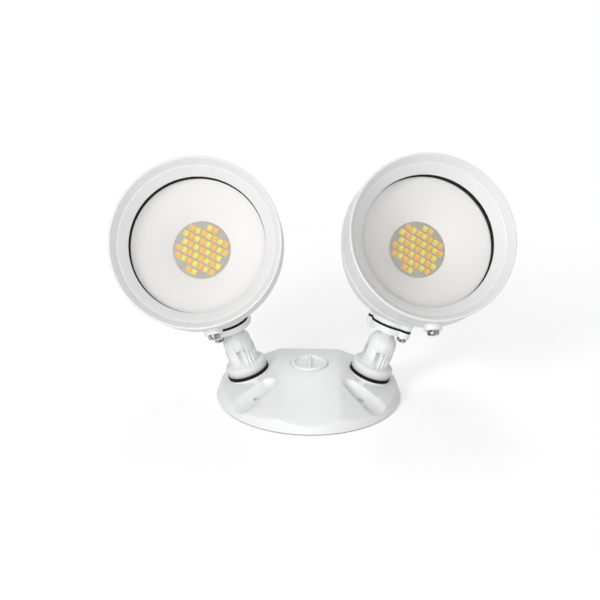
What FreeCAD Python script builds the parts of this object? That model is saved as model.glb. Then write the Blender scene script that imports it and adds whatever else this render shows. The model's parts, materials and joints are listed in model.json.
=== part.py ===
import FreeCAD, Part
import math
import os
import re

import Sketcher

# Twin head security light on a round canopy, in millimetres.
# Origin at the centre of the canopy's back, +Z out of the wall, +X to the right, lamps aimed towards -Y.

V = FreeCAD.Vector
X_AXIS = V(1, 0, 0)
Y_AXIS = V(0, 1, 0)
Z_AXIS = V(0, 0, 1)
FULL_TURN = 360
QUARTER_TURN = 90
MESH_GAP = 0.01

SIZES = {
    # canopy
    "canopy_radius": 63.5,
    "canopy_wall": 3.2,
    "canopy_draft": 19.0,
    "crown_height": 23.6,
    "crown_drop": 18.73,
    "strip_half_width": 21.0,
    "strip_blend": 14.0,
    "rim_round": 1.6,
    "foam_thickness": 0.8,
    "foam_width": 5.6,
    "foam_inset": 0.5,
    # screw troughs
    "trough_angle": 49.5,
    "trough_start": 38.0,
    "trough_axis_height": 20.0,
    "trough_inner_radius": 6.8,
    "trough_outer_radius": 23.0,
    "trough_length": 45.0,
    "trough_wall": 2.6,
    "screw_spacing": 69.85,
    "screw_hole_radius": 2.1,
    "screw_pillar_radius": 6.2,
    "screw_pillar_height": 9.0,
    # centre plug
    "plug_flange_radius": 12.9,
    "plug_flange_height": 2.4,
    "plug_shank_radius": 10.35,
    "plug_shank_length": 10.0,
    "plug_wall": 2.4,
    "plug_dish_radius": 9.6,
    "plug_dish_depth": 1.9,
    "plug_bar_width": 3.2,
    "plug_recess_depth": 2.0,
    "plug_boss_wall": 3.4,
    "seal_thickness": 0.8,
    "seal_width": 2.0,
    # arms and their seats
    "lean_angle": 19.5,
    "seat_offset": 41.5,
    "seat_pad_radius": 15.2,
    "seat_wall": 3.5,
    "seat_flat_radius": 17.0,
    "seat_flat_depth": 1.6,
    "gasket_radius": 14.4,
    "gasket_thickness": 2.2,
    "arm_flange_radius": 14.0,
    "arm_flange_height": 6.4,
    "arm_radius": 10.1,
    "nipple_radius": 10.4,
    "nipple_length": 12.0,
    "arm_bore_radius": 6.0,
    "pivot_height": 22.7,
    "flute_radius": 1.15,
    "flute_length": 7.0,
    "flute_pitch": 16.0,
    "locknut_radius": 15.5,
    "locknut_height": 4.5,
    # knuckle
    "tongue_inset": 0.05,
    "tongue_thickness": 6.0,
    "slot_front_drop": 2.5,
    "neck_half_width": 4.6,
    "bolt_radius": 2.0,
    "bolt_head_radius": 3.9,
    "bolt_head_height": 3.1,
    "bolt_socket_radius": 1.5,
    "ear_face": 6.2,
    "ear_spot_radius": 4.3,
    "nut_radius": 4.1,
    "nut_height": 3.1,
    "plate_gap": 11.0,
    "plate_thickness": 4.0,
    "plate_radius": 12.6,
    "plate_ear_radius": 4.3,
    "plate_ear_offset": 12.8,
    "plate_gasket_thickness": 1.2,
    "wire_hole_radius": 1.8,
    "wire_hole_offset": 5.2,
    "lamp_wire_radius": 4.0,
    # lamp head
    "boss_slope": 24.0,
    "boss_height": 16.0,
    "plate_skew": 38.0,
    "pivot_drop": 8.6,
    "lamp_reach": 66.9,
    "bezel_radius": 56.0,
    "bezel_side_step": 0.4,
    "bezel_band": 4.6,
    "bezel_depth": 24.0,
    "bezel_wall": 2.2,
    "bezel_step_inset": 5.7,
    "bezel_step_depth": 6.6,
    "window_inset": 11.4,
    "window_depth": 12.8,
    "window_lip": 0.6,
    "glass_edge": 4.3,
    "glass_thickness": 3.6,
    "lens_gasket_lip": 1.5,
    "lens_gasket_reach": 0.1,
    "spigot_wall": 2.6,
    "spigot_fit": 0.4,
    "housing_step": 0.1,
    "housing_wall": 2.6,
    "housing_taper": 10.8,
    "housing_rear_taper": 17.8,
    "housing_depth": 86.0,
    "housing_rear_round": 8.0,
    "bay_ledge": 2.4,
    "fin_count": 9,
    "fin_thickness": 2.2,
    "fin_height": 6.0,
    "fin_inset": 0.5,
    "bezel_boss_radius": 6.0,
    "bezel_boss_rise": 3.4,
    "bezel_boss_depth": 16.0,
    # inside the lamp head
    "mouth_inset": 0.6,
    "reflector_throat_radius": 19.3,
    "reflector_wall": 1.2,
    "led_plane": 41.4,
    "board_radius": 34.0,
    "board_thickness": 1.6,
    "board_screw_radius": 29.5,
    "plate_plane_thickness": 2.8,
    "plate_screw_inset": 6.6,
    "inner_boss_radius": 3.8,
    "inner_boss_length": 14.0,
    "chip_length": 3.7,
    "chip_width": 3.9,
    "chip_height": 0.7,
    "chip_pitch": 4.2,
    "chip_row_pitch": 5.15,
    "driver_end_gap": 4.5,
    "driver_slimness": 0.63,
    "driver_height": 19.0,
    "driver_tab_gap": 5.4,
    "driver_tab_width": 14.0,
    "driver_tab_thickness": 3.0,
    "driver_screw_inset": 3.0,
    "driver_boss_height": 4.0,
    # small screws
    "small_screw_radius": 1.5,
    "small_head_radius": 2.8,
    "small_head_height": 1.9,
    "small_screw_length": 9.0,
    "board_screw_length": 4.6,
    "ear_screw_radius": 1.95,
    "ear_screw_head_radius": 3.3,
    "ear_screw_head_height": 3.0,
    "ear_screw_length": 11.5,
    "bezel_screw_head_radius": 4.0,
    # fits
    "shaft_clearance": 0.08,
    "side_clearance": 0.1,
    "sliding_clearance": 0.35,
    "screw_clearance": 0.25,
    "thread_clearance": 0.05,
    # aim of each lamp as built
    "left_swivel": 6.9,
    "left_tilt": 25.4,
    "left_bezel_turn": -9.0,
    "left_chip_slant": 47.0,
    "right_swivel": -0.5,
    "right_tilt": 33.0,
    "right_bezel_turn": 20.0,
    "right_chip_slant": 11.0,
}

# Sizes that follow from the ones above.
FOLLOWING = {
    "crown_radius": "(canopy_radius * canopy_radius + crown_drop * crown_drop) / 2 / crown_drop",
    "tongue_radius": "arm_radius - tongue_inset",
    "bezel_side_radius": "bezel_radius - bezel_side_step",
    "bezel_step_radius": "bezel_radius - bezel_step_inset",
    "bezel_boss_reach": "bezel_radius + bezel_boss_rise",
    "window_radius": "bezel_radius - window_inset",
    "glass_radius": "window_radius + glass_edge",
    "housing_radius": "bezel_radius - housing_step",
    "front_bay_radius": "bezel_radius - bezel_wall - spigot_fit - spigot_wall - bay_ledge",
    "reflector_mouth_radius": "window_radius - mouth_inset",
    "plate_screw_ring": "front_bay_radius - plate_screw_inset",
    "lamp_offset": "bezel_radius + pivot_drop",
    "rear_run": "housing_depth - bezel_depth - 2",
    "rear_radius": "housing_radius - (tan(housing_taper) + tan(housing_rear_taper)) / 2 * rear_run",
    "fin_disc_radius": "rear_radius - housing_rear_round + 2 - fin_inset",
    "fin_pitch": "2 * fin_disc_radius / fin_count",
    "driver_tab_length": "2 * (rear_radius - driver_tab_gap)",
    "driver_screw_offset": "driver_tab_length / 2 - driver_screw_inset",
    "driver_length": "2 * (driver_screw_offset - driver_end_gap)",
    "driver_width": "driver_length * driver_slimness",
}

doc = FreeCAD.newDocument("SecurityLight")
sheet = doc.addObject("Spreadsheet::Sheet", "Sizes")
for row, (alias, entry) in enumerate([*SIZES.items(), *FOLLOWING.items()], 1):
    sheet.set(f"A{row}", alias)
    sheet.set(f"B{row}", f"={entry}")
    sheet.setAlias(f"B{row}", alias)
doc.recompute()
NAMES = {*SIZES, *FOLLOWING}

nodes = []


def size(alias):
    return float(sheet.get(alias))


def tied(formula):
    """The formula with every size name pointing at its cell."""
    return re.sub(r"[a-z_]+", lambda word: f"Sizes.{word[0]}" if word[0] in NAMES else word[0], formula)


def bind(item, prop, formula):
    item.setExpression(prop, tied(formula))


def worked_out(formula):
    return float(sheet.evalExpression(tied(formula)))


def put(item, at=("0", "0", "0"), axis=Z_AXIS, angle="0"):
    """Place an item by three formulas and one turn about an axis."""
    item.Placement = FreeCAD.Placement(V(), FreeCAD.Rotation(axis, 1))
    for letter, formula in zip("xyz", at):
        bind(item, f"Placement.Base.{letter}", formula)
    bind(item, "Placement.Rotation.Angle", angle)
    return item


def cylinder(name, radius, height, at=("0", "0", "0"), axis=Z_AXIS, angle="0"):
    item = doc.addObject("Part::Cylinder", name)
    bind(item, "Radius", radius)
    bind(item, "Height", height)
    return put(item, at, axis, angle)


def along_x(name, radius, start, length, y="0", z="0"):
    return cylinder(name, radius, length, (start, y, z), Y_AXIS, str(QUARTER_TURN))


def along_y(name, radius, start, length, x="0", z="0"):
    return cylinder(name, radius, length, (x, start, z), X_AXIS, str(-QUARTER_TURN))


def block(name, spans):
    """A box between pairs of formulas, one pair for each axis."""
    item = doc.addObject("Part::Box", name)
    for prop, (low, high) in zip(("Length", "Width", "Height"), spans):
        bind(item, prop, f"({high}) - ({low})")
    return put(item, [low for low, high in spans])


def hexagon(name, radius, height, at=("0", "0", "0"), axis=Z_AXIS, angle="0"):
    item = doc.addObject("Part::Prism", name)
    item.Polygon = 6
    bind(item, "Circumradius", radius)
    bind(item, "Height", height)
    return put(item, at, axis, angle)


def ball(name, radius, at):
    item = doc.addObject("Part::Sphere", name)
    bind(item, "Radius", radius)
    return put(item, at)


def fuse(name, items):
    item = doc.addObject("Part::MultiFuse", name)
    item.Shapes = items
    return item


def overlap(name, items):
    item = doc.addObject("Part::MultiCommon", name)
    item.Shapes = items
    return item


def cut(name, base, tools):
    item = doc.addObject("Part::Cut", name)
    item.Base = base
    item.Tool = tools[0] if len(tools) == 1 else fuse(f"{name}_tools", tools)
    return item


def origin_plane(body, role):
    return [item for item in body.Origin.OriginFeatures if item.Role == role][0]


def outline(body, role, corners):
    """A closed sketch on one of the body's own planes, each corner tied to two formulas."""
    sketch = body.newObject("Sketcher::SketchObject", f"{body.Name}_outline")
    sketch.AttachmentSupport = [(origin_plane(body, role), "")]
    sketch.MapMode = "FlatFace"
    points = [V(worked_out(x), worked_out(y), 0) for x, y in corners]
    count = len(points)
    for index in range(count):
        sketch.addGeometry(Part.LineSegment(points[index], points[(index + 1) % count]))
    for index in range(count):
        sketch.addConstraint(Sketcher.Constraint("Coincident", index, 2, (index + 1) % count, 1))
    for index, (x, y) in enumerate(corners):
        for kind, formula, start in (("DistanceX", x, points[index].x), ("DistanceY", y, points[index].y)):
            number = sketch.addConstraint(Sketcher.Constraint(kind, -1, 1, index, 1, start))
            bind(sketch, f"Constraints[{number}]", formula)
    return sketch


def turned(name, corners):
    """A solid of revolution about Z from (radius, height) corners."""
    body = doc.addObject("PartDesign::Body", name)
    sketch = outline(body, "XZ_Plane", corners)
    revolution = body.newObject("PartDesign::Revolution", f"{name}_turn")
    revolution.Profile = sketch
    revolution.ReferenceAxis = (sketch, ["V_Axis"])
    revolution.Angle = FULL_TURN
    return body


def finish(item, node, placement=FreeCAD.Placement()):
    """Name a finished sub-part after its node and put it in its place in the assembly."""
    item.Label = node
    item.Placement = placement
    nodes.append(item)
    return item


def ring(name, outer, inner, bottom, height):
    bore = cylinder(f"{name}_bore", inner, height, ("0", "0", bottom))
    return cut(name, cylinder(f"{name}_disc", outer, height, ("0", "0", bottom)), [bore])


def screw(name, head_radius, head_height, shank_radius, length):
    """A screw with its seat at Z 0, its head above and a hexagon socket in the head."""
    head = turned(f"{name}_head", [
        ("0", "0"), (head_radius, "0"), (head_radius, f"{head_height} * 0.72"),
        (f"{head_radius} * 0.8", head_height), ("0", head_height)])
    socket = hexagon(f"{name}_socket", f"{head_radius} * 0.42", head_height,
                     ("0", "0", f"{head_height} * 0.45"))
    shank = cylinder(f"{name}_shank", shank_radius, length, ("0", "0", f"-({length})"))
    return fuse(name, [cut(f"{name}_driven_head", head, [socket]), shank])


# The arm stands square to the sloping side of the canopy, at its seat.
SEAT_HEIGHT = "(crown_height - (seat_offset - strip_half_width) * tan(lean_angle))"


def seat_placement(side):
    lean = FreeCAD.Rotation(Y_AXIS, side * size("lean_angle"))
    return FreeCAD.Placement(V(side * size("seat_offset"), 0, worked_out(SEAT_HEIGHT)), lean)


def arm_placement(name, side):
    return seat_placement(side) * FreeCAD.Placement(V(), FreeCAD.Rotation(Z_AXIS, size(f"{name}_swivel")))


def knuckle_placement(name, side):
    """The knuckle's own frame: origin on its bolt, X along the bolt, Y square to its eared plate."""
    tilt = QUARTER_TURN - size(f"{name}_tilt") + size("boss_slope")
    return arm_placement(name, side) * FreeCAD.Placement(
        V(0, 0, size("pivot_height")), FreeCAD.Rotation(X_AXIS, tilt))


def knuckle_in_lamp():
    """The knuckle's frame as the lamp sees it: the plate leans back on the tapering housing."""
    return FreeCAD.Placement(V(0, -size("lamp_offset"), -size("lamp_reach")),
                             FreeCAD.Rotation(X_AXIS, size("boss_slope")))


def lamp_placement(name, side):
    """The lamp's own frame: origin on its axis at the front rim, Z the way it faces."""
    return knuckle_placement(name, side) * knuckle_in_lamp().inverse()


# Canopy: a round plate with a crowned middle strip and two sloping sides.
def crown(name, drop):
    """The space under the crowned top: a flat strip between two slopes, swept round a long arc."""
    half = "(canopy_radius + 5)"
    top = f"(crown_height - {drop})"
    edge = f"({top} - ({half} - strip_half_width) * tan(lean_angle))"
    low = "(0 - canopy_radius / 3)"
    body = doc.addObject("PartDesign::Body", name)
    sketch = outline(body, "XZ_Plane", [
        (f"-{half}", low), (half, low), (half, edge), ("strip_half_width", top),
        ("-strip_half_width", top), (f"-{half}", edge)])
    level = "crown_height - crown_radius"
    ends = V(-worked_out(half), worked_out(level), 0), V(worked_out(half), worked_out(level), 0)
    axis = sketch.addGeometry(Part.LineSegment(*ends), True)
    sketch.addConstraint(Sketcher.Constraint("Horizontal", axis))
    for point, x in ((1, f"-{half}"), (2, half)):
        number = sketch.addConstraint(Sketcher.Constraint("DistanceX", -1, 1, axis, point, worked_out(x)))
        bind(sketch, f"Constraints[{number}]", x)
    number = sketch.addConstraint(Sketcher.Constraint("DistanceY", -1, 1, axis, 1, worked_out(level)))
    bind(sketch, f"Constraints[{number}]", level)
    revolution = body.newObject("PartDesign::Revolution", f"{name}_sweep")
    revolution.Profile = sketch
    revolution.ReferenceAxis = (sketch, ["Axis0"])
    revolution.Midplane = True
    revolution.Angle = QUARTER_TURN
    return body


def blend_creases(body):
    """Round the two creases between the strip and the slopes."""
    doc.recompute()
    base = body.Tip
    names = []
    for index, edge in enumerate(base.Shape.Edges, 1):
        box = edge.BoundBox
        on_crease = abs(abs(box.XMin) - size("strip_half_width")) < MESH_GAP and box.XLength < MESH_GAP
        if on_crease and box.ZMax > 0:
            names.append(f"Edge{index}")
    fillet = body.newObject("PartDesign::Fillet", f"{body.Name}_blend")
    fillet.Base = (base, names)
    bind(fillet, "Radius", "strip_blend")
    return body


def drafted_disc(name, inset):
    """A round slab whose side leans in by the draft, over the foam gasket."""
    item = doc.addObject("Part::Cone", name)
    bind(item, "Radius1", f"canopy_radius - {inset}")
    bind(item, "Radius2", f"canopy_radius - {inset} - (crown_height + 5) * tan(canopy_draft)")
    bind(item, "Height", "crown_height + 5")
    return put(item, ("0", "0", "foam_thickness"))


def round_rim(base):
    """Round the edge where the crowned top meets the leaning side."""
    doc.recompute()
    edges = []
    for index, edge in enumerate(base.Shape.Edges, 1):
        middle = edge.valueAt((edge.FirstParameter + edge.LastParameter) / 2)
        lean = (middle.z - size("foam_thickness")) * math.tan(math.radians(size("canopy_draft")))
        on_side = abs(math.hypot(middle.x, middle.y) + lean - size("canopy_radius")) < MESH_GAP
        if on_side and edge.BoundBox.ZMax > size("foam_thickness") + MESH_GAP:
            edges.append((index, size("rim_round"), size("rim_round")))
    item = doc.addObject("Part::Fillet", "canopy_rounded")
    item.Base = base
    item.Edges = edges
    return item


def trough(name, side, wall):
    """A round bottomed scoop that runs out through the rim, a little wider at its mouth."""
    spot = (f"{side} * trough_start * sin(trough_angle)", "-trough_start * cos(trough_angle)",
            "trough_axis_height")
    cone = doc.addObject("Part::Cone", f"{name}_scoop")
    bind(cone, "Radius1", f"trough_inner_radius + {wall}")
    bind(cone, "Radius2", f"trough_outer_radius + {wall}")
    bind(cone, "Height", "trough_length")
    put(cone, spot)
    heading = FreeCAD.Rotation(Z_AXIS, side * size("trough_angle") - QUARTER_TURN)
    cone.setExpression("Placement.Rotation.Angle", None)
    cone.Placement.Rotation = heading * FreeCAD.Rotation(Y_AXIS, QUARTER_TURN)
    return fuse(name, [cone, ball(f"{name}_end", f"trough_inner_radius + {wall}", spot)])


SCREW_Y = "(-screw_spacing / 2 / tan(trough_angle))"


def pillar(name, side, radius, bottom, top):
    return cylinder(name, radius, f"({top}) - ({bottom})", (f"{side} * screw_spacing / 2", SCREW_Y, bottom))


def at_seat(item, side, bottom):
    """Move a cylinder drawn about Z onto the arm's axis, starting at a height from the seat."""
    place = seat_placement(side) * FreeCAD.Placement(V(0, 0, worked_out(bottom)), FreeCAD.Rotation())
    for letter in "xyz":
        item.setExpression(f"Placement.Base.{letter}", None)
    item.setExpression("Placement.Rotation.Angle", None)
    item.Placement = place
    return item


def canopy():
    top = overlap("canopy_blank", [blend_creases(crown("crown_top", "0")), drafted_disc("canopy_side", "0")])
    pads = []
    keep = [cylinder("plug_boss", "plug_shank_radius + plug_boss_wall", "crown_height", ("0", "0",
            "crown_height - plug_recess_depth - plug_shank_length"))]
    away = []
    for side in (-1, 1):
        pads.append(at_seat(cylinder("seat_pad", "seat_pad_radius", "seat_wall"), side, "-seat_wall"))
        keep.append(at_seat(cylinder("seat_flat", "seat_flat_radius", "2 * seat_wall"), side, "-seat_wall"))
        away.append(at_seat(cylinder("nut_flat", "seat_flat_radius", "seat_flat_depth"), side,
                            "-seat_wall - seat_flat_depth"))
        keep.append(trough("trough_skin", side, "trough_wall"))
        keep.append(pillar("pillar", side, "screw_pillar_radius", "foam_thickness", "screw_pillar_height"))
        away.append(trough("trough_cut", side, "0"))
        away.append(pillar("screw_hole", side, "screw_hole_radius", "0", "crown_height"))
        away.append(at_seat(cylinder("arm_hole", "nipple_radius + sliding_clearance", "6 * seat_wall"),
                            side, "-3 * seat_wall"))
    hollow = overlap("hollow_blank", [crown("crown_under", "canopy_wall"),
                                      drafted_disc("side_under", "canopy_wall")])
    away.append(cut("hollow", hollow, keep))
    away.append(cylinder("plug_recess", "plug_flange_radius + sliding_clearance", "crown_height",
                         ("0", "0", "crown_height - plug_recess_depth")))
    away.append(cylinder("plug_hole", "plug_shank_radius + thread_clearance", "crown_height"))
    blank = fuse("canopy_padded", [round_rim(top)] + pads)
    finish(cut("canopy_shell", blank, away), "canopy_plate")


def canopy_gasket():
    item = ring("foam", "canopy_radius - foam_inset", "canopy_radius - foam_inset - foam_width", "0",
                "foam_thickness")
    finish(item, "canopy_gasket")


# The closure plug fills the middle opening: a dished cap with a grip bar, a threaded shank and a flat seal.
PLUG_FLOOR = "(crown_height - plug_recess_depth + seal_thickness)"


def centre_plug():
    top = f"({PLUG_FLOOR} + plug_flange_height)"
    dish = f"({top} - plug_dish_depth)"
    foot = f"({PLUG_FLOOR} - plug_shank_length)"
    inner = "(plug_shank_radius - plug_wall)"
    under = f"({dish} - plug_wall / 2)"
    cap = turned("plug_cap", [
        ("0", under), (inner, under), (inner, foot), ("plug_shank_radius", foot),
        ("plug_shank_radius", PLUG_FLOOR), ("plug_flange_radius", PLUG_FLOOR),
        ("plug_flange_radius", f"{top} - 0.6"), ("plug_flange_radius - 0.6", top),
        ("plug_dish_radius + 0.4", top), ("plug_dish_radius", dish), ("0", dish)])
    bar = block("plug_bar", (("-plug_bar_width / 2", "plug_bar_width / 2"),
                             ("-plug_dish_radius", "plug_dish_radius"), (dish, f"{top} - 0.3")))
    finish(fuse("plug_solid", [cap, bar]), "centre_plug")
    bore = "plug_shank_radius + thread_clearance"
    seal = ring("seal", f"{bore} + seal_width", bore, "crown_height - plug_recess_depth", "seal_thickness")
    finish(seal, "plug_seal")


# Arm: nipple through the canopy, flange on its gasket, fluted neck and a domed fork for the knuckle.
NECK_FOOT = "(gasket_thickness + arm_flange_height)"
SLOT_HALF = "(tongue_thickness / 2 + side_clearance)"
SLOT_RADIUS = "(tongue_radius + sliding_clearance)"
SLOT_FLOOR = f"(pivot_height - {SLOT_RADIUS})"
CORE_FLOOR = f"({SLOT_FLOOR} - 2)"
FLUTE_COUNT = 6
FIRST_FLUTE = -84


def flute(number):
    """One upright groove in the neck, on the quarter that faces the front and right."""
    angle = f"({FIRST_FLUTE} + {number} * flute_pitch)"
    reach = "(arm_radius + flute_radius / 2)"
    at = (f"{reach} * cos({angle})", f"{reach} * sin({angle})", NECK_FOOT)
    top = (at[0], at[1], f"{NECK_FOOT} + flute_length")
    return [cylinder("flute", "flute_radius", "flute_length", at), ball("flute_top", "flute_radius", top)]


def arm(name, side):
    stem = turned(f"{name}_stem", [
        ("arm_bore_radius", "-nipple_length"), ("nipple_radius - 0.8", "-nipple_length"),
        ("nipple_radius", "0.8 - nipple_length"), ("nipple_radius", "gasket_thickness"),
        ("arm_flange_radius", "gasket_thickness"), ("arm_flange_radius", f"{NECK_FOOT} - 0.8"),
        ("arm_flange_radius - 0.8", NECK_FOOT), ("arm_radius", NECK_FOOT),
        ("arm_radius", "pivot_height"), ("arm_bore_radius", "pivot_height")])
    dome = overlap(f"{name}_dome", [
        ball("dome_ball", "arm_radius", ("0", "0", "pivot_height")),
        block("dome_half", (("-arm_radius", "arm_radius"), ("-arm_radius", "arm_radius"),
                            ("pivot_height", "pivot_height + arm_radius")))])
    core = cylinder("fork_core", "arm_bore_radius", f"pivot_height - {CORE_FLOOR}", ("0", "0", CORE_FLOOR))
    pocket = along_x("fork_pocket", SLOT_RADIUS, f"-{SLOT_HALF}", f"2 * {SLOT_HALF}", z="pivot_height")
    rear = block("fork_rear", ((f"-{SLOT_HALF}", SLOT_HALF), ("0", "2 * arm_radius"),
                               (SLOT_FLOOR, "pivot_height + 2 * arm_radius")))
    mouth = block("fork_mouth", ((f"-{SLOT_HALF}", SLOT_HALF), ("-2 * arm_radius", "0"),
                                 ("pivot_height - slot_front_drop", "pivot_height + 2 * arm_radius")))
    wires = cylinder("fork_wires", "wire_hole_radius", "pivot_height", ("0", "wire_hole_offset", "0"))
    bore = along_x("fork_bore", "bolt_radius + shaft_clearance", "-2 * arm_radius", "4 * arm_radius",
                   z="pivot_height")
    right_spot = along_x("right_spot", "ear_spot_radius", "ear_face", "arm_radius", z="pivot_height")
    left_spot = along_x("left_spot", "ear_spot_radius", "-ear_face - arm_radius", "arm_radius",
                        z="pivot_height")
    flutes = [tool for number in range(FLUTE_COUNT) for tool in flute(number)]
    solid = cut(f"{name}_arm_solid", fuse(f"{name}_arm_blank", [stem, dome, core]),
                [pocket, rear, mouth, wires, bore, right_spot, left_spot] + flutes)
    finish(solid, f"{name}_arm", arm_placement(name, side))


def arm_fittings(name, side):
    gasket = ring(f"{name}_gasket_ring", "gasket_radius", "nipple_radius + sliding_clearance", "0",
                  "gasket_thickness")
    finish(gasket, f"{name}_arm_gasket", seat_placement(side))
    nut = cut(f"{name}_locknut_solid",
              hexagon("locknut_blank", "locknut_radius", "locknut_height",
                      ("0", "0", "-seat_wall - locknut_height")),
              [cylinder("locknut_hole", "nipple_radius + thread_clearance", "2 * locknut_height",
                        ("0", "0", "-seat_wall - 1.5 * locknut_height"))])
    finish(nut, f"{name}_arm_locknut", arm_placement(name, side))
    level = arm_placement(name, side) * FreeCAD.Placement(V(0, 0, size("pivot_height")), FreeCAD.Rotation())
    head = along_x("bolt_head", "bolt_head_radius", "ear_face", "bolt_head_height")
    socket = hexagon("bolt_socket", "bolt_socket_radius", "bolt_head_height",
                     ("ear_face + bolt_head_height / 2", "0", "0"), Y_AXIS, str(QUARTER_TURN))
    shank = along_x("bolt_shank", "bolt_radius", "-ear_face - nut_height",
                    "2 * ear_face + nut_height")
    finish(fuse(f"{name}_bolt_solid", [cut("bolt_driven_head", head, [socket]), shank]),
           f"{name}_knuckle_bolt", level)
    nut = cut(f"{name}_nut_solid",
              hexagon("nut_blank", "nut_radius", "nut_height", ("-ear_face - nut_height", "0", "0"),
                      Y_AXIS, str(QUARTER_TURN)),
              [along_x("nut_hole", "bolt_radius + thread_clearance", "-ear_face - 2 * nut_height",
                       "3 * nut_height")])
    finish(nut, f"{name}_knuckle_nut", level)


# Two eared plates: the knuckle's own, the gasket on it and the lamp housing's boss share this outline.
PLATE_TOP = "(plate_gap + plate_thickness)"
BOSS_FACE = "(plate_gap + plate_thickness + plate_gasket_thickness)"


def ear_spot(side, ear):
    """Where an ear's screw stands on the plate: the outer ear of each lamp is turned to the front."""
    angle = f"({side} * plate_skew)"
    return f"({ear} * plate_ear_offset * cos({angle}))", f"({ear} * plate_ear_offset * sin({angle}))"


def eared(name, side, bottom, height):
    """A round disc with an ear on each side, standing on a height along Y."""
    disc = along_y(f"{name}_disc", "plate_radius", bottom, height)
    ears = [along_y(f"{name}_ear", "plate_ear_radius", bottom, height, *ear_spot(side, ear))
            for ear in (-1, 1)]
    web = block(f"{name}_web", (("-plate_ear_offset", "plate_ear_offset"), (bottom, f"{bottom} + {height}"),
                                ("-plate_ear_radius", "plate_ear_radius")))
    skew = f"({side} * plate_skew)"
    put(web, (f"-plate_ear_offset * cos({skew}) + plate_ear_radius * sin({skew})", bottom,
              f"-plate_ear_offset * sin({skew}) - plate_ear_radius * cos({skew})"), Y_AXIS, f"0 - {skew}")
    return fuse(name, [disc, web] + ears)


def ear_holes(side, radius, bottom, height):
    return [along_y("ear_hole", radius, bottom, height, *ear_spot(side, ear)) for ear in (-1, 1)]


def knuckle(name, side):
    place = knuckle_placement(name, side)
    tongue = overlap("tongue", [
        ball("tongue_ball", "tongue_radius", ("0", "0", "0")),
        along_x("tongue_slice", "2 * arm_radius", "-tongue_thickness / 2", "tongue_thickness")])
    neck = block("neck", (("-tongue_thickness / 2", "tongue_thickness / 2"), ("0", "plate_gap"),
                          ("-neck_half_width", "neck_half_width")))
    bore = along_x("tongue_bore", "bolt_radius + shaft_clearance", "-tongue_thickness",
                   "2 * tongue_thickness")
    wire = along_y("wire_way", "wire_hole_radius", "-2 * arm_radius", "4 * arm_radius",
                   z="-wire_hole_offset")
    plate = eared("knuckle_plate", side, "plate_gap", "plate_thickness")
    holes = ear_holes(side, "ear_screw_radius + screw_clearance", "plate_gap", "plate_thickness")
    solid = cut(f"{name}_knuckle_solid", fuse("knuckle_blank", [tongue, neck, plate]), [bore, wire] + holes)
    finish(solid, f"{name}_knuckle", place)
    sheet_hole = along_y("plate_gasket_hole", "lamp_wire_radius + wire_hole_offset / 2", PLATE_TOP,
                         "plate_gasket_thickness")
    holes = ear_holes(side, "ear_screw_radius + screw_clearance", PLATE_TOP, "plate_gasket_thickness")
    gasket = cut(f"{name}_plate_gasket_solid",
                 eared("plate_gasket", side, PLATE_TOP, "plate_gasket_thickness"), [sheet_hole] + holes)
    finish(gasket, f"{name}_flange_gasket", place)
    screws = []
    for ear in (-1, 1):
        item = screw("ear_screw", "ear_screw_head_radius", "ear_screw_head_height", "ear_screw_radius",
                     "ear_screw_length")
        x, z = ear_spot(side, ear)
        screws.append(put(item, (x, "plate_gap", z), X_AXIS, str(QUARTER_TURN)))
    finish(fuse(f"{name}_ear_screws", screws), f"{name}_flange_screws", place)


# Lamp head: heights below are measured back from the front rim, so they are negative Z.
GLASS_FRONT = "(window_depth + window_lip + lens_gasket_lip)"
GASKET_BACK = "(window_depth + window_lip + 2 * lens_gasket_lip + glass_thickness)"
SPIGOT_OUTER = "(bezel_radius - bezel_wall - spigot_fit)"
SPIGOT_INNER = "(bezel_radius - bezel_wall - spigot_fit - spigot_wall)"
SHELF = "(led_plane + board_thickness + plate_plane_thickness)"
REAR_FLOOR = "(housing_depth - housing_wall)"
REAR_BAY = "(front_bay_radius - bay_ledge - 1)"
PATTERN_OF_THREE = (90, 210, 330)
TAPER_STEPS = 8


def back(depth):
    return f"-({depth})"


def bezel(name, side):
    solid = turned(f"{name}_bezel_ring", [
        ("window_radius", back("window_depth")), ("bezel_step_radius", back("bezel_step_depth")),
        ("bezel_step_radius + 0.8", back("bezel_step_depth - 0.5")), ("bezel_radius - 1.5", back("0.3")),
        ("bezel_radius - 0.95", "0"), ("bezel_radius - 0.35", back("0.15")), ("bezel_radius", back("0.8")),
        ("bezel_radius", back("bezel_band")), ("bezel_side_radius", back("bezel_band + 0.4")),
        ("bezel_side_radius", back("bezel_depth")), ("bezel_radius - bezel_wall - 0.25", back("bezel_depth")),
        ("bezel_radius - bezel_wall - 0.25", back("window_depth + window_lip")),
        ("window_radius", back("window_depth + window_lip"))])
    boss = along_y("bezel_boss", "bezel_boss_radius", "-bezel_boss_reach",
                   "bezel_boss_reach - bezel_side_radius + 1", z=back("bezel_boss_depth"))
    hole = along_y("bezel_hole", "ear_screw_radius + screw_clearance", "-2 * bezel_boss_reach",
                   "2 * bezel_boss_reach", z=back("bezel_boss_depth"))
    clear = cylinder("bezel_clear", "bezel_radius - bezel_wall - 0.25", "bezel_depth",
                     ("0", "0", back("bezel_depth")))
    boss = cut("bezel_boss_trimmed", boss, [clear])
    turn = FreeCAD.Placement(V(), FreeCAD.Rotation(Z_AXIS, size(f"{name}_bezel_turn")))
    place = lamp_placement(name, side) * turn
    finish(cut(f"{name}_bezel_solid", fuse("bezel_blank", [solid, boss]), [hole]), f"{name}_bezel", place)
    item = screw(f"{name}_bezel_screw_solid", "bezel_screw_head_radius", "ear_screw_head_height",
                 "ear_screw_radius", f"bezel_boss_reach - {SPIGOT_INNER} - 0.3")
    seat = FreeCAD.Placement(V(0, -size("bezel_boss_reach"), -size("bezel_boss_depth")),
                             FreeCAD.Rotation(X_AXIS, QUARTER_TURN))
    finish(item, f"{name}_bezel_screw", place * seat)


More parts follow.
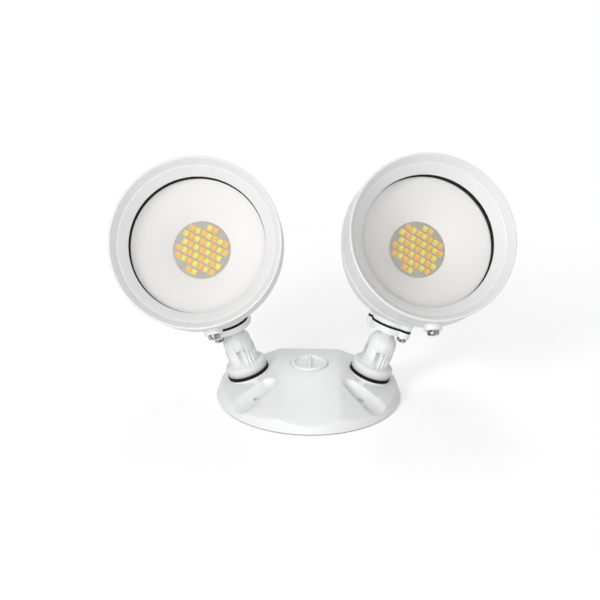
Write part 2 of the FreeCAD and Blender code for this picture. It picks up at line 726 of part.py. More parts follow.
def taper(depth):
    """The outer radius of the housing at a depth: its taper grows evenly from the bezel to the rear."""
    run = f"(({depth}) - bezel_depth - 2)"
    bow = "((tan(housing_rear_taper) - tan(housing_taper)) / (housing_depth - bezel_depth - 2) / 2)"
    return f"(housing_radius - tan(housing_taper) * {run} - {bow} * {run} * {run})"


def housing_cup(name):
    """The outer form of the housing: a spigot for the bezel, a curving taper and a rounded rear."""
    depths = [f"(bezel_depth + 2 + (housing_depth - bezel_depth - 2) * {step} / {TAPER_STEPS})"
              for step in range(TAPER_STEPS + 1)]
    body = turned(f"{name}_housing_cup", [
        (SPIGOT_INNER, back("window_depth + window_lip + 0.3")),
        (SPIGOT_OUTER, back("window_depth + window_lip + 0.3")),
        (SPIGOT_OUTER, back("bezel_depth")), ("housing_radius", back("bezel_depth"))]
        + [(taper(depth), back(depth)) for depth in depths]
        + [("0", back("housing_depth")), ("0", back("bezel_depth")), (SPIGOT_INNER, back("bezel_depth"))])
    doc.recompute()
    base = body.Tip
    rims = [f"Edge{index}" for index, edge in enumerate(base.Shape.Edges, 1)
            if abs(edge.BoundBox.ZMax + size("housing_depth")) < MESH_GAP]
    fillet = body.newObject("PartDesign::Fillet", f"{name}_housing_round")
    fillet.Base = (base, rims)
    bind(fillet, "Radius", "housing_rear_round")
    return body


def housing(name, side):
    shell = housing_cup(name)
    fins = [block("fin", ((f"({number} - (fin_count - 1) / 2) * fin_pitch - fin_thickness / 2",
                           f"({number} - (fin_count - 1) / 2) * fin_pitch + fin_thickness / 2"),
                          ("-fin_disc_radius", "fin_disc_radius"),
                          (back("housing_depth + fin_height"), back("housing_depth - 1"))))
            for number in range(int(size("fin_count")))]
    fin_disc = cylinder("fin_disc", "fin_disc_radius", "fin_height + 1",
                        ("0", "0", back("housing_depth + fin_height")))
    finned = overlap("fins_round", [fuse("fins", fins), fin_disc])
    boss = eared("housing_boss", side, BOSS_FACE, "boss_height")
    boss.Placement = knuckle_in_lamp()
    blank = fuse(f"{name}_housing_blank", [shell, finned, boss])
    inner_rear = f"({taper(REAR_FLOOR)} - housing_wall)"
    bay = turned(f"{name}_bay", [
        ("0", back("window_depth")), (SPIGOT_INNER, back("window_depth")), (SPIGOT_INNER, back(GASKET_BACK)),
        ("front_bay_radius", back(GASKET_BACK)), ("front_bay_radius", back(SHELF)), (REAR_BAY, back(SHELF)),
        (REAR_BAY, back(f"{SHELF} + 6")), (f"{inner_rear} + 1", back(f"{REAR_FLOOR} - 5")),
        (f"{inner_rear} - 4", back(REAR_FLOOR)), ("0", back(REAR_FLOOR))])
    columns = fuse("ear_columns", [
        along_y("ear_column", "plate_ear_radius", BOSS_FACE, "ear_screw_length - 3.7", *ear_spot(side, ear))
        for ear in (-1, 1)])
    columns.Placement = knuckle_in_lamp()
    keep = [columns]
    threads = fuse("flange_holes", ear_holes(
        side, "ear_screw_radius + thread_clearance", f"{BOSS_FACE} - 1",
        "ear_screw_length - plate_thickness - plate_gasket_thickness + 1.4") + [
            along_y("lamp_wire_hole", "lamp_wire_radius", f"{BOSS_FACE} - 1", "boss_height + 2")])
    threads.Placement = knuckle_in_lamp()
    relief = eared("flange_relief", side, "plate_gap - 1", f"{BOSS_FACE} - plate_gap + 1")
    relief.Placement = knuckle_in_lamp()
    away = [threads, relief]
    for angle in PATTERN_OF_THREE:
        spot = (f"plate_screw_ring * cos({angle})", f"plate_screw_ring * sin({angle})")
        keep.append(cylinder("plate_boss", "inner_boss_radius", "inner_boss_length",
                             spot + (back(f"{SHELF} + inner_boss_length"),)))
        away.append(cylinder("plate_thread", "small_screw_radius + thread_clearance", "small_screw_length",
                             spot + (back(f"{SHELF} - plate_plane_thickness + small_screw_length + 0.5"),)))
    for end in (-1, 1):
        spot = (f"{end} * driver_screw_offset", "0")
        keep.append(cylinder("driver_boss", "inner_boss_radius", "driver_boss_height",
                             spot + (back(REAR_FLOOR),)))
        away.append(cylinder("driver_thread", "small_screw_radius + thread_clearance",
                             "driver_boss_height + 1.5", spot + (back(f"{REAR_FLOOR} + 1.5"),)))
    turn = size(f"{name}_bezel_turn") - QUARTER_TURN
    spigot_hole = doc.addObject("Part::Cylinder", "spigot_hole")
    bind(spigot_hole, "Radius", "ear_screw_radius + thread_clearance")
    bind(spigot_hole, "Height", "bezel_radius")
    spigot_hole.Placement = FreeCAD.Placement(
        V(0, 0, -size("bezel_boss_depth")),
        FreeCAD.Rotation(Z_AXIS, turn) * FreeCAD.Rotation(Y_AXIS, QUARTER_TURN))
    away.append(spigot_hole)
    away.append(cut(f"{name}_bay_shaped", bay, keep))
    finish(cut(f"{name}_housing_solid", blank, away), f"{name}_housing", lamp_placement(name, side))


def lens(name, side):
    place = lamp_placement(name, side)
    glass = turned(f"{name}_glass", [
        ("0", back(GLASS_FRONT)), ("glass_radius - 0.4", back(GLASS_FRONT)),
        ("glass_radius", back(f"{GLASS_FRONT} + 0.4")),
        ("glass_radius", back(f"{GLASS_FRONT} + glass_thickness")),
        ("0", back(f"{GLASS_FRONT} + glass_thickness"))])
    finish(glass, f"{name}_lens", place)
    inner = "(window_radius + 0.3)"
    rear_inner = "(window_radius - lens_gasket_reach)"
    groove = "(glass_radius + 0.1)"
    outer = f"({SPIGOT_INNER} - 0.2)"
    front = "window_depth + window_lip"
    rubber = turned(f"{name}_channel", [
        (inner, back(front)), (outer, back(front)), (outer, back(GASKET_BACK)),
        (rear_inner, back(GASKET_BACK)), (rear_inner, back(f"{GLASS_FRONT} + glass_thickness")),
        (groove, back(f"{GLASS_FRONT} + glass_thickness")),
        (groove, back(GLASS_FRONT)), (inner, back(GLASS_FRONT))])
    finish(rubber, f"{name}_lens_gasket", place)


def reflector(name, side):
    mouth = GASKET_BACK
    flange = "(front_bay_radius - 0.4)"
    wall = "reflector_wall"
    cone = turned(f"{name}_reflector_cone", [
        ("reflector_mouth_radius", back(mouth)), (flange, back(mouth)), (flange, back(f"{mouth} + {wall}")),
        (f"reflector_mouth_radius + {wall}", back(f"{mouth} + {wall}")),
        (f"reflector_throat_radius + {wall}", back("led_plane")),
        ("reflector_throat_radius", back("led_plane"))])
    finish(cone, f"{name}_reflector", lamp_placement(name, side))


def chips(name, kind):
    """Every second light emitting chip of the slanted grid, warm or cool, as separate solids."""
    length, width, height = size("chip_length"), size("chip_width"), size("chip_height")
    pitch, row_pitch = size("chip_pitch"), size("chip_row_pitch")
    limit = size("reflector_throat_radius") - math.hypot(length, width) / 2 - MESH_GAP
    reach = int(limit / min(pitch, row_pitch)) + 1
    slant = FreeCAD.Rotation(Z_AXIS, -size(f"{name}_chip_slant"))
    solids = []
    for row in range(-reach, reach + 1):
        for column in range(-reach, reach + 1):
            x = (column + (row % 2) / 2) * pitch
            y = row * row_pitch
            if math.hypot(x, y) > limit or (column + row // 2 + (row % 2)) % 2 != kind:
                continue
            chip = Part.makeBox(length, width, height, V(x - length / 2, y - width / 2, -size("led_plane")))
            chip.rotate(V(), slant.Axis, math.degrees(slant.Angle))
            solids.append(chip)
    return Part.Compound(solids)


def light_source(name, side):
    place = lamp_placement(name, side)
    holes = [cylinder("board_hole", "small_screw_radius + 0.2", "2 * board_thickness",
                      (f"board_screw_radius * cos({angle})", f"board_screw_radius * sin({angle})",
                       back("led_plane + 1.5 * board_thickness"))) for angle in PATTERN_OF_THREE]
    disc = cylinder("board_disc", "board_radius", "board_thickness",
                    ("0", "0", back("led_plane + board_thickness")))
    finish(cut(f"{name}_board_solid", disc, holes), f"{name}_led_board", place)
    for kind, colour in enumerate(("warm", "cool")):
        item = doc.addObject("Part::Feature", f"{name}_{colour}_chips")
        item.Shape = chips(name, kind)
        finish(item, f"{name}_{colour}_leds", place)
    screws = []
    for angle in PATTERN_OF_THREE:
        item = screw("board_screw", "small_head_radius", "small_head_height", "small_screw_radius",
                     "board_screw_length")
        screws.append(put(item, (f"board_screw_radius * cos({angle})", f"board_screw_radius * sin({angle})",
                                 back("led_plane"))))
    finish(fuse(f"{name}_board_screw_set", screws), f"{name}_board_screws", place)


def heat_plate(name, side):
    place = lamp_placement(name, side)
    front = "(led_plane + board_thickness)"
    disc = cylinder("heat_disc", "front_bay_radius - 0.3", "plate_plane_thickness", ("0", "0", back(SHELF)))
    holes = []
    screws = []
    for angle in PATTERN_OF_THREE:
        inner = (f"board_screw_radius * cos({angle})", f"board_screw_radius * sin({angle})")
        outer = (f"plate_screw_ring * cos({angle})", f"plate_screw_ring * sin({angle})")
        for radius, spot in (("small_screw_radius + thread_clearance", inner),
                             ("small_screw_radius + 0.2", outer)):
            holes.append(cylinder("heat_hole", radius, "2 * plate_plane_thickness",
                                  spot + (back(f"{SHELF} + plate_plane_thickness / 2"),)))
        item = screw("heat_screw", "small_head_radius", "small_head_height", "small_screw_radius",
                     "small_screw_length")
        screws.append(put(item, outer + (back(front),)))
    holes.append(cylinder("heat_wire_hole", "wire_hole_radius * 2", "2 * plate_plane_thickness",
                          ("0", "-board_radius - wire_hole_radius * 2",
                           back(f"{SHELF} + plate_plane_thickness / 2"))))
    finish(cut(f"{name}_heat_solid", disc, holes), f"{name}_heat_plate", place)
    finish(fuse(f"{name}_heat_screw_set", screws), f"{name}_heat_plate_screws", place)


def driver(name, side):
    place = lamp_placement(name, side)
    tab_back = f"({REAR_FLOOR} - driver_boss_height)"
    case = block("driver_case", (("-driver_length / 2", "driver_length / 2"),
                                 ("-driver_width / 2", "driver_width / 2"),
                                 (back(REAR_FLOOR), back(f"{REAR_FLOOR} - driver_height"))))
    tabs = block("driver_tabs", (("-driver_tab_length / 2", "driver_tab_length / 2"),
                                 ("-driver_tab_width / 2", "driver_tab_width / 2"),
                                 (back(tab_back), back(f"{tab_back} - driver_tab_thickness"))))
    holes = []
    screws = []
    for end in (-1, 1):
        x = f"{end} * driver_screw_offset"
        holes.append(cylinder("tab_hole", "small_screw_radius + 0.2", "2 * driver_tab_thickness",
                              (x, "0", back(f"{tab_back} + driver_tab_thickness / 2"))))
        item = screw("driver_screw", "small_head_radius", "small_head_height", "small_screw_radius",
                     "driver_tab_thickness + driver_boss_height + 1")
        screws.append(put(item, (x, "0", back(f"{tab_back} - driver_tab_thickness"))))
    finish(cut(f"{name}_driver_solid", fuse("driver_blank", [case, tabs]), holes), f"{name}_driver", place)
    finish(fuse(f"{name}_driver_screw_set", screws), f"{name}_driver_screws", place)


def check(item):
    """Stop on any failed feature, and on any sub-part without a valid shape."""
    shape = item.Shape
    if shape.isNull() or not shape.isValid():
        raise RuntimeError(f"{item.Label} has no valid shape")


canopy()
canopy_gasket()
centre_plug()
for lamp_name, lamp_side in (("left", -1), ("right", 1)):
    arm(lamp_name, lamp_side)
    arm_fittings(lamp_name, lamp_side)
    knuckle(lamp_name, lamp_side)
    housing(lamp_name, lamp_side)
    bezel(lamp_name, lamp_side)
    lens(lamp_name, lamp_side)
    reflector(lamp_name, lamp_side)
    light_source(lamp_name, lamp_side)
    heat_plate(lamp_name, lamp_side)
    driver(lamp_name, lamp_side)
doc.recompute()

for thing in doc.Objects:
    if {"Invalid", "Error"} & set(thing.State):
        raise RuntimeError(f"{thing.Name} failed: {thing.State}")
for node in nodes:
    check(node)

os.makedirs("parts", exist_ok=True)
for node in nodes:
    node.Shape.exportStep(os.path.join("parts", f"{node.Label}.step"))
    print(node.Label, len(node.Shape.Solids), round(node.Shape.Volume, 1))
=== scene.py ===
import json
from math import cos, pi, radians, sin

import bmesh
import bpy
from mathutils import Matrix, Vector


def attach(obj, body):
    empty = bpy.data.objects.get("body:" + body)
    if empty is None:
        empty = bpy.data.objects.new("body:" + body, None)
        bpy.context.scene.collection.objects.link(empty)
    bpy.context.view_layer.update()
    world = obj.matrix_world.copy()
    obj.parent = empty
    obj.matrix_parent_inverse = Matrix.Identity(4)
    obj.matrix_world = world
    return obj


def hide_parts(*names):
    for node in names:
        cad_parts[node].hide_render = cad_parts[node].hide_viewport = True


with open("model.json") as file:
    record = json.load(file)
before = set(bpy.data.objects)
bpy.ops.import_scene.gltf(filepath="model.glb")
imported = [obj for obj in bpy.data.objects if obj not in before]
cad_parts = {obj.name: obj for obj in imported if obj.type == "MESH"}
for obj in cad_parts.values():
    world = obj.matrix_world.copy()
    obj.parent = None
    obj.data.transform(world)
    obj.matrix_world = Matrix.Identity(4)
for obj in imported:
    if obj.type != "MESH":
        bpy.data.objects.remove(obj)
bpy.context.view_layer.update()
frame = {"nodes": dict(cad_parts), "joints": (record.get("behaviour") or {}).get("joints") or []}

nodes = frame["nodes"]
joints = {joint["name"]: joint for joint in frame["joints"]}
MM = 0.001

# View: a camera a little under a metre away, above the light and tipped down at it.
# Its distance, lens and small roll were fitted to the canopy's rim and the two lamp rims.
CAMERA_DISTANCE = 900 * MM
CAMERA_SLIDE = -6.84 * MM
CAMERA_RISE = 64.94 * MM
CAMERA_PITCH = radians(21.29)
CAMERA_ROLL = radians(0.69)
FOCAL_PIXELS = 1297.78
PICTURE_PIXELS = 600
SENSOR_WIDTH = 36

back = Vector((0, -cos(CAMERA_PITCH), sin(CAMERA_PITCH)))
level_up = Vector((0, sin(CAMERA_PITCH), cos(CAMERA_PITCH)))
level_right = Vector((1, 0, 0))
right = cos(CAMERA_ROLL) * level_right + sin(CAMERA_ROLL) * level_up
up = cos(CAMERA_ROLL) * level_up - sin(CAMERA_ROLL) * level_right
camera_data = bpy.data.cameras.new("camera")
camera_data.sensor_width = SENSOR_WIDTH
camera_data.lens = FOCAL_PIXELS * SENSOR_WIDTH / PICTURE_PIXELS
camera_data.clip_start = 0.01
camera = bpy.data.objects.new("camera", camera_data)
bpy.context.scene.collection.objects.link(camera)
camera.matrix_world = Matrix((right, up, back)).transposed().to_4x4()
camera.matrix_world.translation = (back * CAMERA_DISTANCE + level_right * CAMERA_SLIDE
                                   + level_up * CAMERA_RISE)
bpy.context.scene.camera = camera
bpy.context.scene.view_settings.view_transform = "Standard"


# Canopy: a round die cast cover with a crowned middle and two screw troughs, in one casting.
# Like the arms, knuckles, housings and bezels it wears a satin white powder coat with a faint
# orange peel, and a foam ring under its foot seals it to the wall. The ring's grey line along
# the foot is also painted shadow, standing in for the contact shadow there.
class Socket:
    """One output of a shader node, with arithmetic that adds Math nodes."""

    def __init__(self, recipe, output):
        self.recipe = recipe
        self.output = output

    def __add__(self, other):
        return self.recipe.math("ADD", self, other)

    def __sub__(self, other):
        return self.recipe.math("SUBTRACT", self, other)

    def __rsub__(self, other):
        return self.recipe.math("SUBTRACT", other, self)

    def __mul__(self, other):
        return self.recipe.math("MULTIPLY", self, other)

    __radd__ = __add__
    __rmul__ = __mul__


class Finish:
    """A material under construction: one shader and the nodes that feed it."""

    def __init__(self, name, **constants):
        self.material = bpy.data.materials.new(name)
        self.open_tree(self.material, "BSDF_PRINCIPLED", constants)

    def open_tree(self, owner, shader_type, constants):
        owner.use_nodes = True
        self.tree = owner.node_tree
        self.shader = next(node for node in self.tree.nodes if node.type == shader_type)
        self.place = self.node("ShaderNodeTexCoord", {}, {}, "Object")
        for socket, value in constants.items():
            self.shader.inputs[socket.replace("_", " ")].default_value = value

    def node(self, kind, settings, inputs, output=0):
        made = self.tree.nodes.new(kind)
        for name, value in settings.items():
            setattr(made, name, value)
        for name, value in inputs.items():
            if isinstance(value, Socket):
                self.tree.links.new(value.output, made.inputs[name])
            else:
                made.inputs[name].default_value = value
        return Socket(self, made.outputs[output])

    def math(self, operation, first, second):
        return self.node("ShaderNodeMath", {"operation": operation}, {0: first, 1: second})

    def noise(self, scale, detail):
        return self.node("ShaderNodeTexNoise", {},
                         {"Vector": self.place, "Scale": scale, "Detail": detail}, "Fac")

    def blend(self, factor, first, second):
        return self.node("ShaderNodeMix", {"data_type": "RGBA"},
                         {0: factor, 6: first, 7: second}, output=2)

    def bump(self, height, distance, strength):
        made = self.node("ShaderNodeBump", {},
                         {"Height": height, "Distance": distance, "Strength": strength})
        self.feed("Normal", made)

    def feed(self, name, value):
        self.tree.links.new(value.output, self.shader.inputs[name])


def grey(level, warmth=0.0):
    return (level + warmth, level, level - warmth, 1.0)


def powder_coat():
    coat = Finish("white_powder_coat", Specular_IOR_Level=0.45)
    cloudy = coat.noise(scale=28, detail=3)
    speck = coat.noise(scale=900, detail=2)
    coat.feed("Base Color", coat.blend(cloudy, grey(0.80, -0.003), grey(0.83, -0.002)))
    coat.feed("Roughness", 0.36 + cloudy * 0.08)
    peel = coat.noise(scale=420, detail=1.5) + speck * 0.25
    coat.bump(peel, distance=0.00006, strength=0.55)
    return coat.material


POWDER_COAT = powder_coat()
WELD_DISTANCE = 1e-6


def merged(node):
    """The node's own solid as one closed mesh, its loose triangles joined."""
    shape = bmesh.new()
    shape.from_mesh(nodes[node].data)
    bmesh.ops.remove_doubles(shape, verts=shape.verts, dist=WELD_DISTANCE)
    return shape


def make(name, shape, body, slot, *materials, instead):
    """Turn a finished bmesh into a piece that rides on a body and stands for one node."""
    mesh = bpy.data.meshes.new(name)
    for face in shape.faces:
        face.smooth = True
    shape.to_mesh(mesh)
    shape.free()
    piece = bpy.data.objects.new(name, mesh)
    bpy.context.scene.collection.objects.link(piece)
    for material in materials:
        mesh.materials.append(material)
    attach(piece, body)
    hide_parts(instead)
    return piece


def keep_edges(piece, degrees):
    """Leave the piece smooth but for the edges that turn more than so many degrees."""
    piece.data.set_sharp_from_angle(angle=radians(degrees))


def trimmed(node, body, edge_angle):
    """A casting with crisp seams: the node's own solid, smooth but for its edges."""
    piece = make(f"{node}_cast", merged(node), body, "white_powder_coat", POWDER_COAT,
                 instead=node)
    keep_edges(piece, edge_angle)


trimmed("canopy_plate", "canopy", edge_angle=12)


# Foam for the seal under the foot. Its grey is also painted shadow: the thin line it makes along
# the foot stands in for the contact shadow there.
def foam_and_foot_shadow():
    finish = Finish("black_foam", Roughness=0.9, Specular_IOR_Level=0.2)
    cells = finish.noise(scale=1500, detail=2)
    finish.feed("Base Color", finish.blend(cells, grey(0.20), grey(0.28)))
    finish.bump(cells, distance=0.00015, strength=0.6)
    return finish.material


def wear(piece, material):
    """Give a piece that keeps its own mesh the finish it is made in."""
    piece.data.materials.clear()
    piece.data.materials.append(material)


wear(nodes["canopy_gasket"], foam_and_foot_shadow())


# Middle plug: a white cap screwed into the canopy's spare opening, with a grip bar across its
# dish, in the canopy's own coat. Its flat rubber seal lies under the cap, out of sight.
def rounded_casting(node, body, grain, passes):
    """A casting with its edges rounded a little: a fine grid of the solid, smoothed by passes."""
    source = merged(node)
    mesh = bpy.data.meshes.new(f"{node}_source")
    source.to_mesh(mesh)
    source.free()
    lump = bpy.data.objects.new(f"{node}_source", mesh)
    bpy.context.scene.collection.objects.link(lump)
    remesh = lump.modifiers.new("grain", "REMESH")
    remesh.mode = "VOXEL"
    remesh.voxel_size = grain
    evaluated = lump.evaluated_get(bpy.context.evaluated_depsgraph_get())
    shape = bmesh.new()
    shape.from_mesh(evaluated.to_mesh())
    bpy.data.objects.remove(lump)
    for _ in range(passes):
        bmesh.ops.smooth_vert(shape, verts=shape.verts, factor=0.5,
                              use_axis_x=True, use_axis_y=True, use_axis_z=True)
    make(f"{node}_cast", shape, body, "white_powder_coat", POWDER_COAT, instead=node)


rounded_casting("centre_plug", "canopy", grain=0.3 * MM, passes=2)


def rubber():
    finish = Finish("black_rubber", Specular_IOR_Level=0.15)
    dust = finish.noise(scale=260, detail=3)
    finish.feed("Base Color", finish.blend(dust, grey(0.003), grey(0.008)))
    finish.feed("Roughness", 0.6 + dust * 0.2)
    finish.bump(finish.noise(scale=1200, detail=1), distance=0.00005, strength=0.4)
    return finish.material


RUBBER = rubber()
wear(nodes["plug_seal"], RUBBER)


# Arms: threaded nipple, round flange, fluted neck and domed fork in one casting, on a black
# rubber ring. A zinc plated locknut holds each one inside the canopy, and a painted bolt and
# nut pinch the fork.
# Steel with turning marks. Its base colour swings in streaks between a dark and a bright tone,
# which are painted glints and painted dark reflections as well as turning marks.
def steel(name, dark, bright, warmth, rough):
    finish = Finish(name, Metallic=1.0)
    turning = finish.noise(scale=520, detail=3)
    turning_and_glint = finish.node("ShaderNodeMapRange", {},
                         {"Value": turning, "From Min": 0.38, "From Max": 0.62})
    finish.feed("Base Color", finish.blend(turning_and_glint, grey(dark, warmth), grey(bright, warmth)))
    finish.feed("Roughness", rough + turning * 0.14)
    finish.bump(turning, distance=0.00012, strength=0.8)
    return finish.material


# The stainless swings from near black to half white, painted glints and painted dark reflections on
# its heads; the zinc swings only a little.
STAINLESS = steel("stainless_steel", dark=0.07, bright=0.50, warmth=0.002, rough=0.14)
ZINC = steel("zinc_steel", dark=0.52, bright=0.64, warmth=0.01, rough=0.3)

SIDES = ("left", "right")
for side in SIDES:
    trimmed(f"{side}_arm", f"{side}_arm", edge_angle=30)
    wear(nodes[f"{side}_arm_gasket"], RUBBER)
    wear(nodes[f"{side}_arm_locknut"], ZINC)
    wear(nodes[f"{side}_knuckle_bolt"], POWDER_COAT)
    wear(nodes[f"{side}_knuckle_nut"], POWDER_COAT)


# Knuckles: a tongue in the arm's fork carries an eared plate, screwed up against the lamp over a
# thin gasket. Plate and tongue are one casting. The two cap screws are stainless, and the inner
# one was painted over with the plate.
BROKEN_EDGE = 0.22 * MM
STILL_FLAT = radians(2)
HEAD_CORNER = radians(40)


def cap_screws(node, body, inner_painted=False):
    """The node's screws with their edges broken, so that the heads catch the light."""
    shape = merged(node)
    bmesh.ops.dissolve_limit(shape, angle_limit=STILL_FLAT, verts=shape.verts, edges=shape.edges)
    rims = [edge for edge in shape.edges
            if len(edge.link_faces) == 2 and edge.calc_face_angle() > HEAD_CORNER]
    bmesh.ops.bevel(shape, geom=rims, offset=BROKEN_EDGE, affect="EDGES", segments=2, profile=0.5,
                    material=-1, clamp_overlap=True)
    if inner_painted:
        middle = sum(abs(vert.co.x) for vert in shape.verts) / len(shape.verts)
        for face in shape.faces:
            face.material_index = int(abs(face.calc_center_median().x) < middle)
    piece = make(f"{node}_turned", shape, body, "stainless_steel", STAINLESS, POWDER_COAT,
                 instead=node)
    keep_edges(piece, degrees=50)


for side in SIDES:
    trimmed(f"{side}_knuckle", f"{side}_head", edge_angle=30)
    wear(nodes[f"{side}_flange_gasket"], RUBBER)
    cap_screws(f"{side}_flange_screws", f"{side}_head", inner_painted=True)


# Housings: tapering die cast cans with a rounded, finned rear and an eared boss for the
# knuckle's plate. Everything else of the lamp goes in from the front.
for side in SIDES:
    rounded_casting(f"{side}_housing", f"{side}_head", grain=0.9 * MM, passes=3)


# Bezels: front rings with a rolled rim, a sloping inner wall and a small boss for the screw
# that locks them. Each is spun round the lamp's own axis, as the casting is trimmed on a lathe.
LAMP_TILT = {"left": 25.4, "right": 33.0}  # degrees up from square to the arm
BEZEL_TURN = {"left": -9.0, "right": 20.0}  # degrees round from the knuckle's side to the boss
PIVOT_IN_LAMP = Vector((0, -64.6, -66.9)) * MM


def lamp_frame(side):
    """The lamp's own frame: origin on its axis at the front rim, Z the way it faces."""
    across = -Vector(joints[f"{side}_tilt"]["axis"])
    upright = Vector(joints[f"{side}_swivel"]["axis"])
    arm = Matrix((across, upright.cross(across), upright)).transposed()
    turn = arm @ Matrix.Rotation(radians(90 - LAMP_TILT[side]), 3, "X")
    place = turn.to_4x4()
    place.translation = Vector(joints[f"{side}_tilt"]["pos_m"]) - turn @ PIVOT_IN_LAMP
    return place


LAMP_FRAME = {side: lamp_frame(side) for side in SIDES}
SPIN_STEPS = 144
ARC_STEPS = 4
ARC_SHARE = 0.45  # the most that an arc takes of the line beside it


def spun(profile, closed=True):
    """A ring or dish spun about Z from (radius, height) corners in millimetres."""
    shape = bmesh.new()
    corners = [shape.verts.new((radius * MM, 0, height * MM)) for radius, height in profile]
    pairs = list(zip(corners, corners[1:])) + ([(corners[-1], corners[0])] if closed else [])
    edges = [shape.edges.new(pair) for pair in pairs]
    bmesh.ops.spin(shape, geom=corners + edges, cent=(0, 0, 0), axis=(0, 0, 1), angle=2 * pi,
                   steps=SPIN_STEPS, use_merge=True)
    bmesh.ops.remove_doubles(shape, verts=shape.verts, dist=WELD_DISTANCE)
    bmesh.ops.recalc_face_normals(shape, faces=shape.faces)
    return shape


def rounded(profile, rounds):
    """The same corners with each one that has a radius turned into a short arc."""
    result = []
    count = len(profile)
    for index, (corner, radius) in enumerate(zip(profile, rounds)):
        here = Vector(corner)
        before = Vector(profile[index - 1]) - here
        after = Vector(profile[(index + 1) % count]) - here
        if not radius:
            result.append(tuple(here))
            continue
        reach = min(radius, before.length * ARC_SHARE, after.length * ARC_SHARE)
        start = here + before.normalized() * reach
        end = here + after.normalized() * reach
        for step in range(ARC_STEPS + 1):
            t = step / ARC_STEPS
            result.append(tuple(start * (1 - t) ** 2 + here * 2 * t * (1 - t) + end * t ** 2))
    return result


BEZEL_CORNERS = [
    (44.6, -12.8), (50.3, -6.6), (51.1, -6.1), (54.5, -0.3), (55.05, 0.0), (55.65, -0.15),
    (56.0, -0.8), (56.0, -4.6), (55.6, -5.0), (55.6, -24.0), (53.55, -24.0), (53.55, -13.4),
    (44.6, -13.4)]
BEZEL_ROUNDS = [0.25, 0.9, 0.9, 1.0, 0.4, 0.4, 0.6, 0.4, 0.3, 0.6, 0.3, 0, 0.2]
BOSS_RADIUS = 6.0 * MM
BOSS_HEIGHT = 5.2 * MM
BOSS_EDGE = 0.5 * MM
BOSS_CORNER = radians(60)
BOSS_PLACE = Vector((0, -56.8, -16.0)) * MM


def bezel(side):
    """The ring, with its boss made on the axis, bevelled at one end and stood out at the rim."""
    ring = spun(rounded(BEZEL_CORNERS, BEZEL_ROUNDS))
    boss = set(bmesh.ops.create_cone(ring, cap_ends=True, segments=48, radius1=BOSS_RADIUS,
                                     radius2=BOSS_RADIUS, depth=BOSS_HEIGHT)["verts"])
    rim = [edge for edge in ring.edges
           if set(edge.verts) <= boss and edge.calc_face_angle(0) > BOSS_CORNER
           and max(vert.co.z for vert in edge.verts) < 0]
    bmesh.ops.bevel(ring, geom=rim, offset=BOSS_EDGE, affect="EDGES", segments=3, profile=0.5,
                    material=-1)
    near_axis = [vert for vert in ring.verts if vert.co.xy.length < 2 * BOSS_RADIUS]
    stand = Matrix.Translation(BOSS_PLACE) @ Matrix.Rotation(radians(-90), 4, "X")
    bmesh.ops.transform(ring, matrix=stand, verts=near_axis)
    turned = LAMP_FRAME[side] @ Matrix.Rotation(radians(BEZEL_TURN[side]), 4, "Z")
    bmesh.ops.transform(ring, matrix=turned, verts=ring.verts)
    piece = make(f"{side}_bezel_ring", ring, f"{side}_head", "white_powder_coat", POWDER_COAT,
                 instead=f"{side}_bezel")
    keep_edges(piece, degrees=40)


for side in SIDES:
    bezel(side)
    cap_screws(f"{side}_bezel_screw", f"{side}_head")


# Lens: a flat disc of clear tempered glass, held at its edge by a black rubber channel behind
# the bezel's lip. The channel's two lips are what shows as the black line round the window.
LENS_CORNERS = [(0.0, -14.9), (48.9, -14.9), (48.9, -18.5), (0.0, -18.5)]
LENS_ROUNDS = [0, 0.5, 0.5, 0]
REAR_LIP_RADIUS = {"left": 44.2, "right": 44.7}
CHANNEL_ROUNDS = [0.3, 0, 0, 0.3, 0, 0, 0, 0.3]


def glass():
    finish = Finish("clear_glass", Base_Color=(0.9, 0.92, 0.91, 1), Roughness=0.02, IOR=1.45)
    sheen = finish.node("ShaderNodeFresnel", {}, {"IOR": 1.4})
    haze = finish.noise(scale=60, detail=2)
    finish.feed("Alpha", sheen * 0.4 + haze * 0.015)
    return finish.material


GLASS = glass()
for side in SIDES:
    disc = spun(rounded(LENS_CORNERS, LENS_ROUNDS), closed=False)
    bmesh.ops.transform(disc, matrix=LAMP_FRAME[side], verts=disc.verts)
    pane = make(f"{side}_lens_pane", disc, f"{side}_head", "clear_glass", GLASS,
                instead=f"{side}_lens")
    keep_edges(pane, degrees=30)
    lip = REAR_LIP_RADIUS[side]
    corners = [(44.7, -13.4), (50.6, -13.4), (50.6, -20.0), (lip, -20.0), (lip, -18.5),
               (49.0, -18.5), (49.0, -14.9), (44.7, -14.9)]
    ring = spun(rounded(corners, CHANNEL_ROUNDS))
    bmesh.ops.transform(ring, matrix=LAMP_FRAME[side], verts=ring.verts)
    channel = make(f"{side}_lens_channel", ring, f"{side}_head", "black_rubber", RUBBER,
                   instead=f"{side}_lens_gasket")
    keep_edges(channel, degrees=40)


# Reflector: a deep white moulded cone from the window down to the light source, with a rolled
# mouth. Its satin face spreads the light evenly.
def reflector_white():
    finish = Finish("white_reflector", Specular_IOR_Level=0.35)
    soft = finish.noise(scale=18, detail=2)
    finish.feed("Base Color", finish.blend(soft, grey(0.85, 0.006), grey(0.88, 0.005)))
    finish.feed("Roughness", 0.42 + soft * 0.1)
    finish.bump(finish.noise(scale=500, detail=1), distance=0.00003, strength=0.4)
    return finish.material


